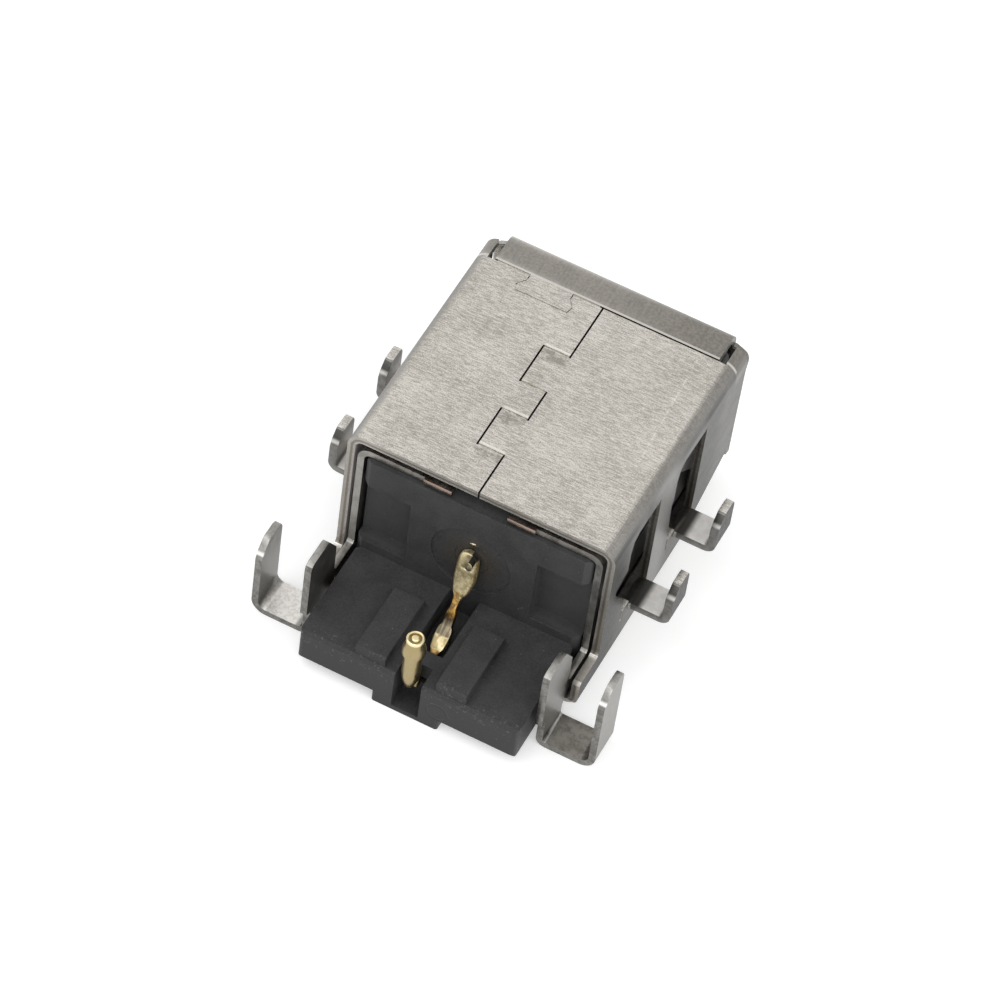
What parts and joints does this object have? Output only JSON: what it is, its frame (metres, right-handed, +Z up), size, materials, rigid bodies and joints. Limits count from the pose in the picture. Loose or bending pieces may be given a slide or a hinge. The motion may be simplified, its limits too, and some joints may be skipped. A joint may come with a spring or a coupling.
{
  "type": "dc barrel jack",
  "caption": "Shielded barrel power jack sunk into a board cut-out, with a folded steel shield, a sleeve contact with solder tails and a central pin.",
  "frame": {"origin": "middle of the shield's flat bottom, level with the rear edge of the shield's top", "axes": "+Y out of the plug opening along the centre pin, +Z up out of the board side along the solder tails, +X to the right"},
  "size_m": [0.0156, 0.0183, 0.0088],
  "materials": {
    "outer_shield": "brushed",
    "sleeve_contact": "bright",
    "housing": "matte",
    "centre_pin": "polished",
    "centre_terminal": "polished"
  },
  "bodies": {
    "root": {"outer_shield": "outer_shield", "sleeve_contact": "sleeve_contact", "housing": "housing", "centre_pin": "centre_pin", "centre_terminal": "centre_terminal"}
  },
  "joints": []
}
